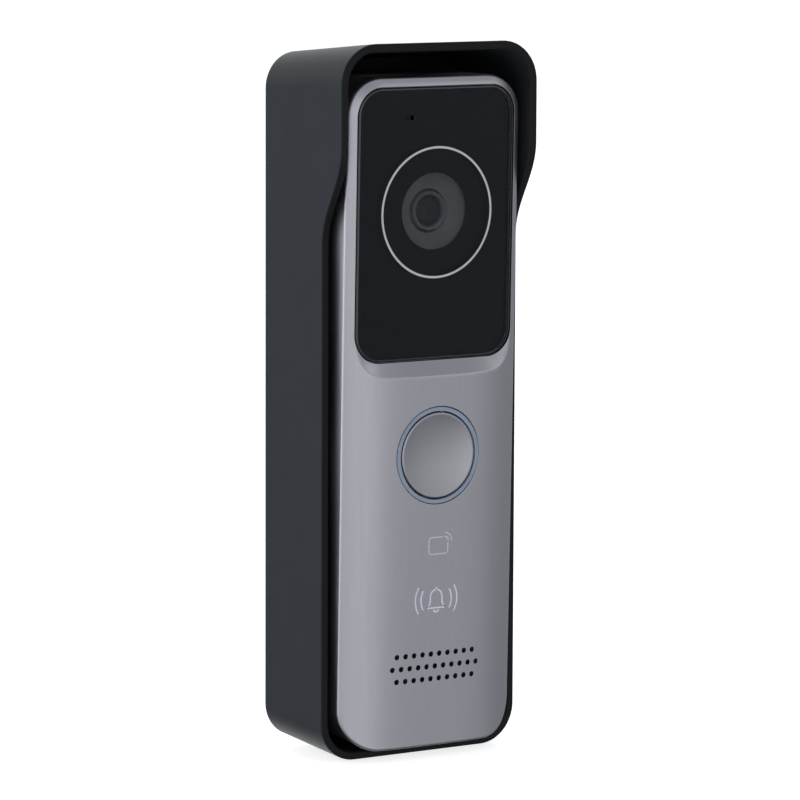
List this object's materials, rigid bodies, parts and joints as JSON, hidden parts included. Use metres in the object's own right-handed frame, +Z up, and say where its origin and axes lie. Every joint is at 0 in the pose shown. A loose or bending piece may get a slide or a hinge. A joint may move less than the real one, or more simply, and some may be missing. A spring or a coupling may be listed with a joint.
{
  "type": "video doorbell",
  "caption": "Slim wall door station with a visored rain cover, a brushed front shell, a black camera window, a ringed call button, a card reader and a speaker grille.",
  "frame": {"origin": "centre of the rain cover's back face, which lies flat on the wall", "axes": "+Z up the wall, +Y into the wall, so the front with the window and the button faces -Y, and +X to the right of someone who faces it"},
  "size_m": [0.0522, 0.0318, 0.1605],
  "materials": {
    "cover": "satin moulded, fine grain",
    "aluminium": "brushed along the height, clear anodised",
    "button": "brushed, dished",
    "window": "polished, black",
    "mask": "printed film",
    "light_ring": "translucent",
    "lens_glass": "coated",
    "shroud": "fine matt",
    "black_plastic": "moulded",
    "rubber": "matt",
    "foam": "closed-cell foam",
    "board": "solder mask",
    "chip": "moulded resin",
    "steel": "zinc plated",
    "copper": "enamelled copper",
    "paper": "fibre",
    "led": "clear resin",
    "terminal": "moulded"
  },
  "bodies": {
    "doorbell": {"rain_cover": "cover", "front_shell": "aluminium", "front_window": "window", "window_mask": "mask", "button_light_ring": "light_ring", "front_lens": "lens_glass", "rear_lens": "lens_glass", "lens_shroud": "shroud", "rear_housing": "black_plastic", "lens_barrel": "black_plastic", "lens_holder": "black_plastic", "cable_grommet": "rubber", "housing_seal": "rubber", "microphone_boot": "rubber", "window_adhesive": "foam", "speaker_gasket": "foam", "main_board": "board", "camera_board": "board", "led_board": "board", "button_board": "board", "processor": "chip", "image_sensor": "chip", "light_sensor": "chip", "tamper_switch": "chip", "speaker_magnet": "chip", "microphone": "chip", "mounting_bracket": "steel", "bracket_screw_1": "steel", "bracket_screw_2": "steel", "security_screw": "steel", "camera_screw_1": "steel", "camera_screw_2": "steel", "button_board_screw_1": "steel", "button_board_screw_2": "steel", "speaker_screw_1": "steel", "speaker_screw_2": "steel", "housing_screw_1": "steel", "housing_screw_2": "steel", "housing_screw_3": "steel", "housing_screw_4": "steel", "main_board_screw_1": "steel", "main_board_screw_2": "steel", "tact_switch": "steel", "wifi_module": "steel", "speaker_frame": "steel", "ir_cut_actuator": "copper", "camera_flex": "copper", "card_antenna": "copper", "wifi_antenna": "copper", "speaker_mesh": "paper", "speaker_cone": "paper", "ir_led_1": "led", "ir_led_2": "led", "ring_led_1": "led", "ring_led_2": "led", "terminal_block": "terminal"},
    "button": {"call_button": "button"},
    "switch_plunger": {"tact_plunger": "chip"},
    "tamper_key": {"tamper_plunger": "black_plastic"},
    "filter_shuttle": {"ir_cut_shuttle": "lens_glass"}
  },
  "joints": [
    {"name": "call_button_press", "type": "slide", "parent": "doorbell", "child": "button", "axis": [0, 1, 0], "range_m": [0, 0.0008], "stiffness_N_per_m": 1500, "springref_m": -0.0005},
    {"name": "switch_plunger_press", "type": "slide", "parent": "doorbell", "child": "switch_plunger", "axis": [0, 1, 0], "range_m": [0, 0.0008]},
    {"name": "tamper_key_press", "type": "slide", "parent": "doorbell", "child": "tamper_key", "axis": [0, -1, 0], "range_m": [0, 0.0005], "stiffness_N_per_m": 400, "springref_m": -0.0003},
    {"name": "filter_shuttle_slide", "type": "slide", "parent": "doorbell", "child": "filter_shuttle", "axis": [1, 0, 0], "range_m": [0, 0.006]}
  ],
  "couplings": [
    {"joint": "switch_plunger_press", "follows": "call_button_press", "ratio": 1}
  ]
}
